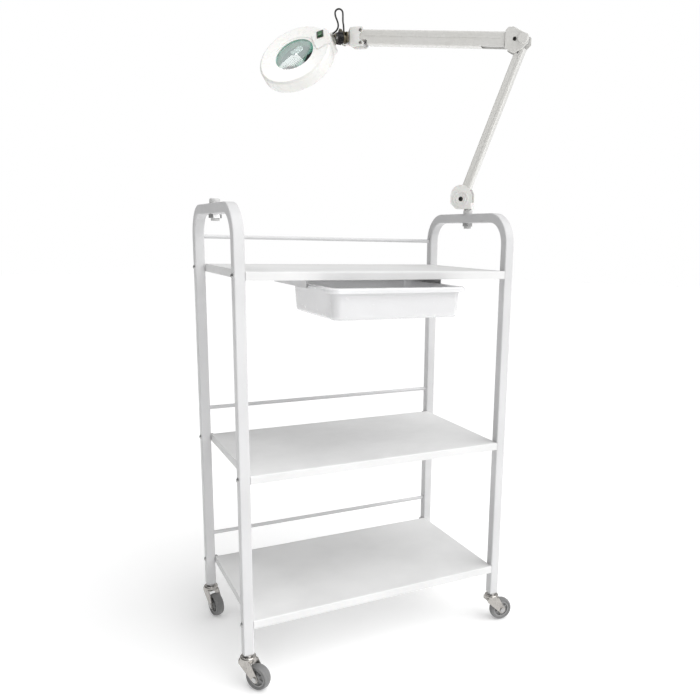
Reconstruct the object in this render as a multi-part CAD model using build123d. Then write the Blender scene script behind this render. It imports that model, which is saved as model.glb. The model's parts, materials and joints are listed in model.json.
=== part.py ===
from build123d import *
import math
import os

# Rolling salon trolley with three shelves, a slide-out tub drawer and a magnifier lamp.
# Millimetres. The origin is on the floor under the middle of the trolley.
# +X is to the right, +Y to the back, +Z up; the drawer opens towards -Y.

os.makedirs("parts", exist_ok=True)

# ---------------------------------------------------------------- driving dimensions
WIDTH = 574.0              # over both side frames
DEPTH = 334.6              # over the front and rear legs
TUBE = 20.0                # square tube of the side frames
TUBE_WALL = 1.2
TUBE_EDGE = 2.5            # rounded edge of the tube
BEND_OUTER = 64.0          # outer radius of a side frame's top corners
FRAME_TOP = 902.0
LEG_BOTTOM = 70.0

SHELF_TOPS = {"bottom": 135.7, "middle": 420.1, "top": 784.8}
SHELF_LIP = 15.6
SHEET = 1.2
SHELF_GAP = 0.05           # shelf end to leg
RAIL_HEIGHTS = (188.0, 476.2, 839.9)
RAIL_D = 8.0
RAIL_INSERT = 8.0          # how far a rail reaches into its leg

BOLT_D = 6.0
BOLT_HEAD_D = 11.0
BOLT_HEAD_H = 3.2
NUT_AF = 10.0
NUT_H = 5.0

WHEEL_D = 50.0
TYRE_W = 17.0
AXLE_D = 6.0
TRAIL = 23.0
FORK_PLATE = 2.0
FORK_GAP = 21.0            # between the insides of the fork's cheeks
FIT = 0.05                 # radial running clearance

TUB_W = 256.0              # drawer body at its bottom
TUB_D = 212.0
TUB_FRONT = -221.0         # front of the drawer body's bottom at rest, partly open
TUB_BOTTOM = 701.0
TUB_RIM_TOP = 758.5
TUB_WALL = 2.2
TUB_DRAFT = 3.0            # how much each side leans out from bottom to rim
TUB_LIP = 9.5              # how far the rim stands out
TUB_LIP_H = 9.0
TUB_SIDE_LIP_H = 5.0       # rim over the runners
RUNNER_Y0 = -122.0
RUNNER_Y1 = 75.0

SOCKET_D = 12.5            # bore of a lamp socket
BUSH_SHANK_R = 8.0
LAMP_PIN_D = 12.0

HEADING = 133.0            # direction the lamp's arms point, degrees from +X
BASE_PIVOT = (13.6, 933.6)       # in the arms' plane: reach from the pin, height
LOWER_LEN = 345.0
LOWER_ANGLE = 110.9        # elevation of the lower arm, degrees
LOWER_W = 19.0             # in the arms' plane
LOWER_T = 21.0             # across the arms' plane
UPPER_PIVOT_DX = 20.0      # from the elbow clamp to the upper arm's pivots
UPPER_LEN = 345.5
UPPER_ANGLE = 4.25
UPPER_H = 31.0
UPPER_T = 25.0
LINK_SPACING = 26.0        # between the upper arm's two links, pin to pin

HEAD_R = 87.0              # lamp head, outer radius
HEAD_T = 32.0
LENS_R = 50.0
LENS_VIEW_R = 46.0
NECK_X = 91.0              # flat end of the head's neck, from the lens centre
NECK_HALF = 31.0
PIN_X = 103.0              # hinge pin of the head, from the lens centre
HINGE_Y = 228.0            # hinge pin of the head
HINGE_Z = 1284.5
EYE_SET = 3.0              # hinge pin beyond the middle of the tilt block's plate
STUD_Y = 198.0             # clamp stud of the head, parallel to X
STUD_Z = 1276.0
SWIVEL_REACH = 300.0       # vertical swivel at the arm's end, from the lamp pin

# ---------------------------------------------------------------- helpers
LEG_X = WIDTH / 2 - TUBE / 2
LEG_Y = DEPTH / 2 - TUBE / 2
SHELF_X = WIDTH / 2 - TUBE - SHELF_GAP
SHELF_REAR = DEPTH / 2 - TUBE
SHELF_FRONT = -DEPTH / 2


def write(name, solids):
    """One node: one STEP file with one solid, or a group of separate solids."""
    items = solids if isinstance(solids, list) else [solids]
    flat = []
    for item in items:
        flat += item.solids()
    shape = flat[0] if len(flat) == 1 else Compound(children=flat)
    export_step(shape, f"parts/{name}.step")


def cyl(radius, height, centre, axis):
    """Cylinder centred on a point, along an axis."""
    return Plane(origin=centre, z_dir=axis) * Cylinder(radius, height)


def block(low, high):
    """Box between two corners."""
    size = [b - a for a, b in zip(low, high)]
    mid = [(a + b) / 2 for a, b in zip(low, high)]
    return Pos(*mid) * Box(*size)


def hexagon_nut(across_flats, height, hole_r, centre, axis):
    sketch = RegularPolygon(across_flats / 2, 6, major_radius=False) - Circle(hole_r)
    return Plane(origin=centre, z_dir=axis) * extrude(sketch, height / 2, both=True)


def dome_head(radius, height, shank_r, shank_len, seat, axis):
    """Domed screw or bolt: the head stands out along the axis, the shank runs back from the seat."""
    sphere_r = (radius ** 2 + height ** 2) / (2 * height)
    dome = Pos(0, 0, height - sphere_r) * Sphere(sphere_r)
    dome = dome & (Pos(0, 0, height / 2) * Cylinder(radius, height))
    socket = Pos(0, 0, height) * extrude(RegularPolygon(radius * 0.32, 6), -height * 0.55)
    shank = Pos(0, 0, -shank_len / 2) * Cylinder(shank_r, shank_len)
    return Plane(origin=seat, z_dir=axis) * (dome - socket + shank)


# ---------------------------------------------------------------- side frames
def side_frame(side):
    """Bent square tube: two legs and a top bow, with holes for bolts, rails and the lamp socket."""
    x = side * LEG_X
    bend = BEND_OUTER - TUBE / 2
    top = FRAME_TOP - TUBE / 2
    path = FilletPolyline(
        (x, -LEG_Y, LEG_BOTTOM), (x, -LEG_Y, top), (x, LEG_Y, top), (x, LEG_Y, LEG_BOTTOM),
        radius=bend,
    )
    start = Plane(origin=(x, -LEG_Y, LEG_BOTTOM), z_dir=(0, 0, 1))
    outer = sweep(start * RectangleRounded(TUBE, TUBE, TUBE_EDGE), path=path)
    bore_size = TUBE - 2 * TUBE_WALL
    inner = sweep(start * RectangleRounded(bore_size, bore_size, TUBE_EDGE - TUBE_WALL), path=path)
    frame = outer - inner
    for shelf_top in SHELF_TOPS.values():
        for y in (-LEG_Y, LEG_Y):
            frame -= cyl(BOLT_D / 2 + 0.2, TUBE + 2, (x, y, shelf_top - SHELF_LIP / 2), (1, 0, 0))
    for height in RAIL_HEIGHTS:
        inner_face = (side * (LEG_X - TUBE / 2), LEG_Y, height)
        frame -= cyl(RAIL_D / 2 + FIT, 2 * RAIL_INSERT, inner_face, (1, 0, 0))
    frame -= cyl(BUSH_SHANK_R + FIT, TUBE + 4, (x, 0, top), (0, 0, 1))
    return frame


write("left_side_frame", side_frame(-1))
write("right_side_frame", side_frame(1))


# ---------------------------------------------------------------- shelves, rails and bolts
def shelf(top):
    """Folded sheet tray, open below, with an ear behind each end lip for the rear bolts."""
    low = top - SHELF_LIP
    body = block((-SHELF_X, SHELF_FRONT, low), (SHELF_X, SHELF_REAR, top))
    body = fillet(body.edges().filter_by(Axis.X).group_by(Axis.Z)[-1], 3.0)
    inside = block(
        (-SHELF_X + SHEET, SHELF_FRONT + SHEET, low - 1),
        (SHELF_X - SHEET, SHELF_REAR - SHEET, top - SHEET),
    )
    inside = fillet(inside.edges().filter_by(Axis.X).group_by(Axis.Z)[-1], 3.0 - SHEET)
    tray = body - inside
    bolt_z = top - SHELF_LIP / 2
    for side in (-1, 1):
        ear = block((-SHEET / 2, -8, low), (SHEET / 2, DEPTH / 2 - SHELF_REAR - 3, top - 3.5))
        tray += Pos(side * (SHELF_X - SHEET / 2), SHELF_REAR, 0) * ear
        for y in (-LEG_Y, LEG_Y):
            tray -= cyl(BOLT_D / 2 + 0.2, 6, (side * SHELF_X, y, bolt_z), (1, 0, 0))
    if top == SHELF_TOPS["top"]:
        for x, y in runner_screw_places():
            tray -= cyl(2.1, 6, (x, y, top), (0, 0, 1))
    return tray


RUNNER_X = TUB_W / 2 + TUB_DRAFT + TUB_LIP + 1.5   # inner face of a runner's web
RUNNER_SHEET = 1.2
RUNNER_FLANGE = 12.0


def runner_screw_places():
    x = RUNNER_X + RUNNER_SHEET + RUNNER_FLANGE / 2
    return [(side * x, y) for side in (-1, 1) for y in (RUNNER_Y0 + 25, RUNNER_Y1 - 25)]


for level, top in SHELF_TOPS.items():
    write(f"{level}_shelf", shelf(top))

rail_len = WIDTH - 2 * TUBE + 2 * RAIL_INSERT - 0.2
rails = [cyl(RAIL_D / 2, rail_len, (0, LEG_Y, height), (1, 0, 0)) for height in RAIL_HEIGHTS]
write("rear_rails", rails)

bolts, nuts = [], []
for top in SHELF_TOPS.values():
    z = top - SHELF_LIP / 2
    for side in (-1, 1):
        for y in (-LEG_Y, LEG_Y):
            seat = (side * WIDTH / 2, y, z)
            shank = TUBE + SHEET + NUT_H + 1.5
            bolts.append(dome_head(BOLT_HEAD_D / 2, BOLT_HEAD_H, BOLT_D / 2, shank, seat, (side, 0, 0)))
            nut_x = side * (SHELF_X - SHEET - NUT_H / 2)
            nuts.append(hexagon_nut(NUT_AF, NUT_H, BOLT_D / 2, (nut_x, y, z), (1, 0, 0)))
write("shelf_bolts", bolts)

# ---------------------------------------------------------------- leg plugs and caster stems
STEM_R = 5.0
PLUG_IN = 22.0
plugs, stems = [], []
for side in (-1, 1):
    for y in (-LEG_Y, LEG_Y):
        fit_size = TUBE - 2 * TUBE_WALL - 0.1
        core = Pos(0, 0, LEG_BOTTOM + PLUG_IN / 2) * extrude(
            RectangleRounded(fit_size, fit_size, 1.2), PLUG_IN / 2, both=True
        )
        collar = Pos(0, 0, LEG_BOTTOM - 3) * extrude(RectangleRounded(TUBE, TUBE, TUBE_EDGE), 3)
        collar = chamfer(collar.edges().group_by(Axis.Z)[0], 1.6)
        plug = core + collar - Pos(0, 0, LEG_BOTTOM + 8) * Cylinder(STEM_R, 24)
        plugs.append(Pos(side * LEG_X, y, 0) * plug)
        stem = Pos(0, 0, 72) * Cylinder(STEM_R, 30) + Pos(0, 0, 65.2) * Cylinder(8.5, 3.2)
        stems.append(Pos(side * LEG_X, y, 0) * stem)
write("leg_plugs", plugs)
write("caster_stems", stems)

# ---------------------------------------------------------------- casters
# name, leg side, leg row, direction of the trail in plan (degrees from +X)
CASTERS = (
    ("front_left", -1, -1, -53.0),
    ("rear_left", -1, 1, -77.0),
    ("front_right", 1, -1, -9.0),
    ("rear_right", 1, 1, -30.0),
)
CASTER_CAP_Z = 63.4


def caster_fork():
    """Swivel housing and fork: two cheeks that reach back to the axle, under a domed cap."""
    r_wheel = WHEEL_D / 2
    eye = Pos(TRAIL, 0) * Circle(7.5)
    shoulder = Pos(0, 27.5) * Rectangle(27, 7)
    cheek_profile = make_hull(eye.edges() + shoulder.edges())
    cheeks = None
    for side in (-1, 1):
        y = side * (FORK_GAP / 2 + FORK_PLATE / 2)
        upright = Plane(origin=(0, y, r_wheel), x_dir=(1, 0, 0), z_dir=(0, -1, 0))
        cheek = upright * extrude(cheek_profile, FORK_PLATE / 2, both=True)
        cheeks = cheek if cheeks is None else cheeks + cheek
    crown = Pos(0, 0, 54.5) * extrude(RectangleRounded(30, FORK_GAP + 2 * FORK_PLATE, 5), 2.5)
    cap = Pos(0, 0, 57) * extrude(Circle(15.5), CASTER_CAP_Z - 57)
    cap = fillet(cap.edges().group_by(Axis.Z)[-1], 3.5)
    fork = cheeks + crown + cap
    fork -= Pos(0, 0, 58) * Cylinder(STEM_R + FIT, 14)
    fork -= cyl(AXLE_D / 2, 40, (TRAIL, 0, r_wheel), (0, 1, 0))
    return fork


def caster_axle():
    width = FORK_GAP + 2 * FORK_PLATE
    axle = cyl(AXLE_D / 2, width + 3, (TRAIL, 0, WHEEL_D / 2), (0, 1, 0))
    for side in (-1, 1):
        y = side * (width / 2 + 1.0)
        axle += cyl(5.0, 2.0, (TRAIL, y, WHEEL_D / 2), (0, 1, 0))
    return axle


def wheel_hub():
    """Moulded hub with a dished web, a rim and a boss as wide as the fork allows."""
    rim = Circle(18.0) - Circle(15.5)
    hub = extrude(rim, TYRE_W / 2 - 1.5, both=True)
    hub += extrude(Circle(16) - Circle(AXLE_D / 2 + FIT), 2.4, both=True)
    hub += extrude(Circle(6.5) - Circle(AXLE_D / 2 + FIT), FORK_GAP / 2 - 0.4, both=True)
    for index in range(6):
        spoke = Pos(10.8, 0) * Rectangle(10.4, 2.2)
        hub += Rot(0, 0, index * 60) * extrude(spoke, 5.0, both=True)
    return Plane(origin=(TRAIL, 0, WHEEL_D / 2), z_dir=(0, 1, 0)) * hub


def tyre():
    """Solid tyre with a crowned tread and rounded shoulders."""
    half = TYRE_W / 2
    outer_r = WHEEL_D / 2
    section = Polyline((18.0, -half + 1.0), (18.0, half - 1.0), (20.5, half), (22.5, half))
    crown = ThreePointArc((22.5, half), (outer_r, 0), (22.5, -half))
    close = Polyline((22.5, -half), (20.5, -half), (18.0, -half + 1.0))
    face = make_face(section.edges() + [crown] + close.edges())
    ring = revolve(Plane.XZ * face, Axis.Z)
    return Plane(origin=(TRAIL, 0, WHEEL_D / 2), z_dir=(0, 1, 0)) * ring


for name, side, row, direction in CASTERS:
    place = Pos(side * LEG_X, row * LEG_Y, 0) * Rot(0, 0, direction)
    write(f"{name}_caster_fork", place * caster_fork())
    write(f"{name}_caster_axle", place * caster_axle())
    write(f"{name}_wheel_hub", place * wheel_hub())
    write(f"{name}_tyre", place * tyre())


# ---------------------------------------------------------------- drawer and its runners
def tub_body(inset, low, high, radius):
    """Tapered block of the tub: wider at the top by the draft."""
    grow = TUB_DRAFT / (TUB_RIM_TOP - TUB_BOTTOM)
    centre_y = TUB_FRONT + TUB_D / 2
    profiles = []
    for z in (low, high):
        extra = 2 * grow * (z - TUB_BOTTOM) - 2 * inset
        outline = RectangleRounded(TUB_W + extra, TUB_D + extra, radius)
        profiles.append(Pos(0, centre_y, z) * outline)
    return loft(profiles)


def drawer():
    shell = tub_body(0, TUB_BOTTOM, TUB_RIM_TOP, 16.0)
    shell = fillet(shell.edges().group_by(Axis.Z)[0], 7.0)
    centre_y = TUB_FRONT + TUB_D / 2
    lip_w = TUB_W + 2 * (TUB_DRAFT + TUB_LIP)
    lip_d = TUB_D + 2 * (TUB_DRAFT + TUB_LIP)
    lip = Pos(0, centre_y, TUB_RIM_TOP - TUB_LIP_H) * extrude(
        RectangleRounded(lip_w, lip_d, 22.0), TUB_LIP_H
    )
    lip = fillet(lip.edges().group_by(Axis.Z)[-1], 3.5)
    under = tub_body(-0.01, TUB_RIM_TOP - TUB_LIP_H - 1, TUB_RIM_TOP - TUB_WALL, 16.0)
    hollow = Pos(0, centre_y, TUB_RIM_TOP - TUB_LIP_H - 1) * extrude(
        RectangleRounded(lip_w - 2 * TUB_WALL, lip_d - 2 * TUB_WALL, 20.0),
        TUB_LIP_H + 1 - TUB_WALL,
    )
    lip -= hollow - under
    cavity = tub_body(TUB_WALL, TUB_BOTTOM + TUB_WALL, TUB_RIM_TOP + 5, 14.0)
    cavity = fillet(cavity.edges().group_by(Axis.Z)[0], 5.5)
    rear = TUB_FRONT + TUB_D + TUB_LIP + 20
    notch = Plane.YZ * make_face(Polyline(
        (TUB_FRONT + 2, TUB_RIM_TOP - TUB_LIP_H - 0.5),
        (TUB_FRONT + 30, TUB_RIM_TOP - TUB_SIDE_LIP_H),
        (rear, TUB_RIM_TOP - TUB_SIDE_LIP_H), (rear, TUB_RIM_TOP - TUB_LIP_H - 0.5), close=True,
    ))
    lip -= extrude(notch, lip_w, both=True)
    return shell + lip - cavity


write("drawer_tub", drawer())


def runner(side):
    """Folded Z strip: a top flange under the shelf, a web, and a ledge that carries the tub's rim."""
    ledge_top = TUB_RIM_TOP - TUB_SIDE_LIP_H - 0.35
    shelf_under = SHELF_TOPS["top"] - SHEET
    x = RUNNER_X
    length = RUNNER_Y1 - RUNNER_Y0
    strip = block((x, 0, ledge_top - RUNNER_SHEET), (x + RUNNER_SHEET, length, shelf_under))
    strip += block(
        (x, 0, shelf_under - RUNNER_SHEET), (x + RUNNER_SHEET + RUNNER_FLANGE, length, shelf_under)
    )
    strip += block((x - 7.0, 0, ledge_top - RUNNER_SHEET), (x + RUNNER_SHEET, length, ledge_top))
    strip += block(
        (x - 7.0, length - RUNNER_SHEET, ledge_top - RUNNER_SHEET), (x, length, TUB_RIM_TOP)
    )
    for _, y in runner_screw_places()[:2]:
        hole_x = x + RUNNER_SHEET + RUNNER_FLANGE / 2
        strip -= cyl(2.1, 6, (hole_x, y - RUNNER_Y0, shelf_under), (0, 0, 1))
    strip = Pos(0, RUNNER_Y0, 0) * strip
    return strip if side > 0 else mirror(strip, about=Plane.YZ)


write("drawer_runners", [runner(-1), runner(1)])
screws = []
for x, y in runner_screw_places():
    seat = (x, y, SHELF_TOPS["top"] - SHEET - RUNNER_SHEET)
    screws.append(dome_head(3.6, 2.2, 2.0, SHEET + RUNNER_SHEET - 0.2, seat, (0, 0, -1)))
write("runner_screws", screws)

# ---------------------------------------------------------------- lamp sockets in the side frames
BUSH_TOP = FRAME_TOP + 9.0
BUSH_LOW = FRAME_TOP - TUBE - 12.0
bushes = []
for side in (-1, 1):
    place = Pos(side * LEG_X, 0, 0)
    collar = Pos(0, 0, FRAME_TOP) * extrude(Circle(10.0), BUSH_TOP - FRAME_TOP)
    collar = fillet(collar.edges().group_by(Axis.Z)[-1], 3.4)
    shank = Pos(0, 0, BUSH_LOW) * extrude(Circle(BUSH_SHANK_R), FRAME_TOP - BUSH_LOW)
    bore = Pos(0, 0, BUSH_LOW - 1) * extrude(Circle(SOCKET_D / 2), BUSH_TOP - BUSH_LOW + 2)
    bushes.append(place * (collar + shank - bore))
    nut_centre = (side * LEG_X, 0, FRAME_TOP - TUBE - 3.5)
    nuts.append(hexagon_nut(21.0, 7.0, BUSH_SHANK_R, nut_centre, (0, 0, 1)))
write("lamp_bushes", bushes)
write("frame_nuts", nuts)

# ---------------------------------------------------------------- lamp: places in the arms' plane
# Arm frame: x along the heading, y to the left of it, z up, origin on the lamp pin's axis.
ARM = Pos(LEG_X, 0, 0) * Rot(0, 0, HEADING)
ACROSS = (0, 1, 0)


def reach(origin, length, degrees):
    a = math.radians(degrees)
    return (origin[0] + length * math.cos(a), origin[1] + length * math.sin(a))


ELBOW = reach(BASE_PIVOT, LOWER_LEN, LOWER_ANGLE)
UPPER_ROOT = (ELBOW[0] + UPPER_PIVOT_DX, ELBOW[1])
UPPER_END = reach(UPPER_ROOT, UPPER_LEN, UPPER_ANGLE)


def in_plane(centre, degrees):
    """Working plane with x along a direction in the arms' plane and z across it."""
    a = math.radians(degrees)
    return Plane(
        origin=(centre[0], 0, centre[1]), x_dir=(math.cos(a), 0, math.sin(a)), z_dir=(0, -1, 0)
    )


# ---------------------------------------------------------------- lamp base on its pin
PIN_TOP = BASE_PIVOT[1] - 11.0
PIN_LOW = BUSH_LOW + 1.0
PIN_FLANGE = 1.2
BASE_FOOT = BUSH_TOP + 0.3 + PIN_FLANGE
BASE_HALF_T = 14.0
BASE_SHELL = 2.6
BASE_ROUND_R = 23.6
BASE_CUT = 12.0            # corner cut off the foot
pin = Pos(0, 0, (PIN_LOW + PIN_TOP) / 2) * Cylinder(LAMP_PIN_D / 2, PIN_TOP - PIN_LOW)
pin += Pos(0, 0, BUSH_TOP + 0.3) * extrude(Circle(9.0), PIN_FLANGE)
write("lamp_pin", ARM * pin)


def base_outline(inset):
    """Round top over a flat foot, with the foot's front corner cut off."""
    cx, cz = BASE_PIVOT
    half = BASE_ROUND_R - inset
    round_z = cz + 6.8
    foot = BASE_FOOT + inset
    skirt = Polyline(
        (cx - half, round_z), (cx - half, foot), (cx + half - BASE_CUT, foot),
        (cx + half, foot + BASE_CUT), (cx + half, round_z),
    )
    arch = ThreePointArc((cx + half, round_z), (cx, round_z + half), (cx - half, round_z))
    return make_face(skirt.edges() + [arch])


def base_cover(side):
    """Half of the base: a cup with a raised double ring round the pivot."""
    up = Plane(origin=(0, 0, 0), x_dir=(1, 0, 0), z_dir=(0, -1, 0))
    shell = up * extrude(base_outline(0), BASE_HALF_T)
    shell -= up * extrude(base_outline(BASE_SHELL), BASE_HALF_T - BASE_SHELL)
    pivot = (BASE_PIVOT[0], -BASE_HALF_T - 0.7, BASE_PIVOT[1])
    for outer, inner in ((17.0, 15.2), (11.0, 9.4)):
        ring = Circle(outer) - Circle(inner)
        shell += Plane(origin=pivot, z_dir=ACROSS) * extrude(ring, 0.8, both=True)
    shell -= cyl(3.1, 60, (BASE_PIVOT[0], 0, BASE_PIVOT[1]), ACROSS)
    shell -= Pos(0, 0, PIN_TOP - 20) * Cylinder(LAMP_PIN_D / 2, 40)
    slot = block(
        (BASE_PIVOT[0] - 60, -LOWER_T / 2 - 0.6, BASE_PIVOT[1] - 7),
        (BASE_PIVOT[0] + 60, 0.1, BASE_PIVOT[1] + 60),
    )
    shell -= slot
    return shell if side < 0 else mirror(shell, about=Plane.XZ)


write("base_covers", [ARM * base_cover(1), ARM * base_cover(-1)])
pivot_seat = (BASE_PIVOT[0], BASE_HALF_T, BASE_PIVOT[1])
write("base_bolt", ARM * dome_head(5.0, 2.6, 3.0, 2 * BASE_HALF_T + 7, pivot_seat, ACROSS))


def lobed_knob(radius, thick, lobes, bore_r):
    """Hand knob with rounded lobes; its front faces +Z from z = 0."""
    plan = Circle(radius * 0.76)
    for index in range(lobes):
        angle = math.radians(index * 360 / lobes)
        lobe_at = Pos(radius * 0.72 * math.cos(angle), radius * 0.72 * math.sin(angle))
        plan += lobe_at * Circle(radius * 0.28)
    knob = extrude(plan, thick)
    knob = fillet(knob.edges().group_by(Axis.Z)[-1], thick * 0.18)
    knob += Pos(0, 0, -1.5) * extrude(Circle(radius * 0.45), 1.5)
    return knob - Pos(0, 0, -2) * extrude(Circle(bore_r), thick * 0.7 + 2)


rear_of_base = Plane(
    origin=(BASE_PIVOT[0], -BASE_HALF_T - 3.2, BASE_PIVOT[1]), x_dir=(1, 0, 0), z_dir=(0, -1, 0)
)
write("base_knob", ARM * (rear_of_base * lobed_knob(12.0, 9.0, 5, 3.0 + FIT)))

# ---------------------------------------------------------------- lower arm
LOWER_AXIS = in_plane(BASE_PIVOT, LOWER_ANGLE)
LUG_T = 12.0
LUG_EYE_R = 9.0
LUG_NECK_W = 9.0
LOWER_BORE_W = LOWER_W - 3.0
LOWER_TUBE_FROM = 26.0     # tube's lower end, from the base pivot
ELBOW_OVERLAP = 16.0       # tube's upper end, short of the elbow bolt
ELBOW_SWEEP_R = 30.0       # kept free round the elbow bolt on the link's side
RIDGE_INSET = 12.0         # ridge's ends, from the tube's ends


def lower_arm_tube():
    """Square tube with a ridge on both sides, cut back where the upper arm's lower link comes past."""
    start, end = LOWER_TUBE_FROM, LOWER_LEN - ELBOW_OVERLAP
    outer = Pos((start + end) / 2, 0, 0) * Box(end - start, LOWER_W, LOWER_T)
    outer = fillet(outer.edges().filter_by(Axis.X), 3.0)
    bore = Pos((start + end) / 2, 0, 0) * Box(end - start + 2, LOWER_BORE_W, LOWER_T - 3)
    for side in (-1, 1):
        ridge_at = Pos((start + end) / 2, LOWER_W / 2 - 5.5, side * (LOWER_T / 2 + 0.2))
        outer += ridge_at * Box(end - start - 2 * RIDGE_INSET, 2.4, 1.4)
    link_side = Pos(LOWER_LEN, -LOWER_W / 2, 0) * Box(2 * ELBOW_SWEEP_R, LOWER_W, LOWER_T + 10)
    return outer - bore - (link_side & Pos(LOWER_LEN, 0, 0) * Cylinder(ELBOW_SWEEP_R, LOWER_T + 10))


def arm_lug(at, neck_end, towards):
    """Eye on a pivot, a narrow neck, and a tongue that plugs into the tube."""
    eye = Pos(at, 0, 0) * Cylinder(LUG_EYE_R, LUG_T)
    neck = Pos((at + towards) / 2, 0, 0) * Box(abs(towards - at), LUG_NECK_W, LUG_T)
    tongue = Pos((neck_end + towards) / 2, 0, 0) * Box(abs(towards - neck_end), LOWER_BORE_W - 0.1, LUG_T)
    return eye + neck + tongue - Pos(at, 0, 0) * Cylinder(3.0 + FIT, LUG_T + 2)


write("lower_arm_tube", ARM * (LOWER_AXIS * lower_arm_tube()))
foot_lug = arm_lug(0, 12.0, 44.0)
head_lug = arm_lug(LOWER_LEN, LOWER_LEN - ELBOW_SWEEP_R, LOWER_LEN - 54.0)
write("lower_arm_lugs", [ARM * (LOWER_AXIS * foot_lug), ARM * (LOWER_AXIS * head_lug)])

# ---------------------------------------------------------------- elbow
PLATE_T = 2.4
ELBOW_HALF = 16.0          # outside of an elbow plate, from the arms' plane
SCREW_X = UPPER_ROOT[0] - 2.0    # stand-off screw between the link pins


def elbow_plate(side):
    """Flat cheek with cut corners that carries the clamp bolt and both link pins."""
    x, z = ELBOW
    outline = Polygon(
        (x - 11, z + 8), (x - 3, z + 11), (x + 21, z + 24), (x + 32, z + 24), (x + 38, z + 18),
        (x + 39, z - 17), (x + 20, z - 28), (x + 2, z - 20), (x - 11, z - 8),
        align=None,
    )
    outline = fillet(outline.vertices(), 3.0)
    up = Plane(origin=(0, side * (ELBOW_HALF - PLATE_T / 2), 0), x_dir=(1, 0, 0), z_dir=(0, -1, 0))
    plate = up * extrude(outline, PLATE_T / 2, both=True)
    plate -= cyl(4.0, 60, (x, 0, z), ACROSS)
    plate -= cyl(2.5, 60, (SCREW_X, 0, UPPER_ROOT[1]), ACROSS)
    if side > 0:
        plate = chamfer(plate.faces().sort_by(Axis.Y)[-1].outer_wire().edges(), 0.8)
    return plate


write("elbow_plates", [ARM * elbow_plate(1), ARM * elbow_plate(-1)])
elbow_pin = cyl(3.0, 2 * ELBOW_HALF + 8, (ELBOW[0], 0, ELBOW[1]), ACROSS)
spacer_len = ELBOW_HALF - LUG_T / 2 - 0.2
for side in (-1, 1):
    spacer_centre = (ELBOW[0], side * (ELBOW_HALF - spacer_len / 2), ELBOW[1])
    elbow_pin += cyl(4.0, spacer_len, spacer_centre, ACROSS)
    boss_centre = (ELBOW[0], side * (ELBOW_HALF + 2.6), ELBOW[1])
    elbow_pin += cyl(10.0, 5.2, boss_centre, ACROSS)
write("elbow_bolt", ARM * elbow_pin)
link_pins = []
for side in (-1, 1):
    z = UPPER_ROOT[1] + side * LINK_SPACING / 2
    link_pins.append(cyl(2.5, 2 * (ELBOW_HALF - PLATE_T), (UPPER_ROOT[0], 0, z), ACROSS))
seat = (SCREW_X, ELBOW_HALF, UPPER_ROOT[1])
link_pins.append(dome_head(4.2, 1.8, 2.5, 2 * ELBOW_HALF + 1, seat, ACROSS))
write("elbow_pins", [ARM * item for item in link_pins])

# ---------------------------------------------------------------- upper arm, a spring-balanced four-bar
UPPER_AXIS = in_plane(UPPER_ROOT, UPPER_ANGLE)
LINK_T = 5.0
LINK_W = 7.0
LINK_BOSS_HALF = 10.4      # a link's boss reaches this far from the arms' plane
SPRING_SIDE = 6.7          # spring beside the links, from the arms' plane
SPRING_POST_R = 2.0
COVER_FROM = 19.5          # cover's elbow end, from the link pins
COVER_OPEN = 70.0          # its underside is open up to here
COVER_TIP = 2.0            # its tip reaches past the end cap's upper pin
COVER_NOTCH = 15.0         # underside of the tip, cut back for the lower pin
COVER_WALL = 1.6
LINK_INSET = 3.6           # a link's bar lies inside the line of its pins
SPRING_R = 3.7
SPRING_WIRE = 2.2


def link_bar(post_at, inset):
    """Flat bar with a wide boss on each pin and a post for one end of the spring."""
    bar = Pos(UPPER_LEN / 2, inset, 0) * Box(UPPER_LEN, LINK_W, LINK_T)
    for end in (0, UPPER_LEN):
        bar += Pos(end, 0, 0) * Cylinder(LINK_W / 2 + 1.2, 2 * LINK_BOSS_HALF)
    for end in (0, UPPER_LEN):
        bar -= Pos(end, 0, 0) * Cylinder(2.5 + FIT, 60)
    post_len = SPRING_SIDE + 2.5
    return bar + Pos(post_at, inset, -post_len / 2) * Cylinder(SPRING_POST_R, post_len)


def upper_arm_cover():
    """Channel with a raised ridge on both sides; its underside is open near the elbow and the tip."""
    start, end = COVER_FROM, UPPER_LEN + COVER_TIP
    mid = (start + end) / 2
    length = end - start
    outer = Pos(mid, 0, 0) * Box(length, UPPER_H, UPPER_T)
    outer = fillet(outer.edges().filter_by(Axis.X), 4.0)
    bore = Pos(mid, 0, 0) * Box(length + 2, UPPER_H - 3.0, UPPER_T - 2 * COVER_WALL)
    open_end = COVER_OPEN - start + 1
    bore += Pos(start - 1 + open_end / 2, -UPPER_H / 2, 0) * Box(open_end, 12.0, UPPER_T - 2 * COVER_WALL)
    for side in (-1, 1):
        ridge_at = Pos(mid, UPPER_H / 2 - 11.5, side * (UPPER_T / 2))
        outer += ridge_at * Box(length - 20, 4.0, 1.6)
    tip_low = Pos(end, -UPPER_H / 2, 0) * Box(2 * (COVER_NOTCH + COVER_TIP), UPPER_H - 12.0, 2 * UPPER_T)
    lean = math.radians(UPPER_ANGLE)
    pin_at = (UPPER_LEN + LINK_SPACING / 2 * math.sin(lean), LINK_SPACING / 2 * math.cos(lean))
    boss_room = Pos(*pin_at, 0) * Cylinder(LINK_W / 2 + 1.7, 2 * UPPER_T)
    return outer - bore - tip_low - boss_room


def on_upper_pins(which):
    """Working plane of one link: through its elbow pin, along the upper arm."""
    centre = (UPPER_ROOT[0], UPPER_ROOT[1] + which * LINK_SPACING / 2)
    return in_plane(centre, UPPER_ANGLE)


UPPER_POST = 58.0          # spring's post on the upper link, from its elbow pin
LOWER_POST = 206.0         # and on the lower link
write("upper_arm_cover", ARM * (UPPER_AXIS * upper_arm_cover()))
write("upper_arm_rod", ARM * (on_upper_pins(1) * link_bar(UPPER_POST, -LINK_INSET)))
write("upper_arm_link", ARM * (on_upper_pins(-1) * link_bar(LOWER_POST, LINK_INSET)))


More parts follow.
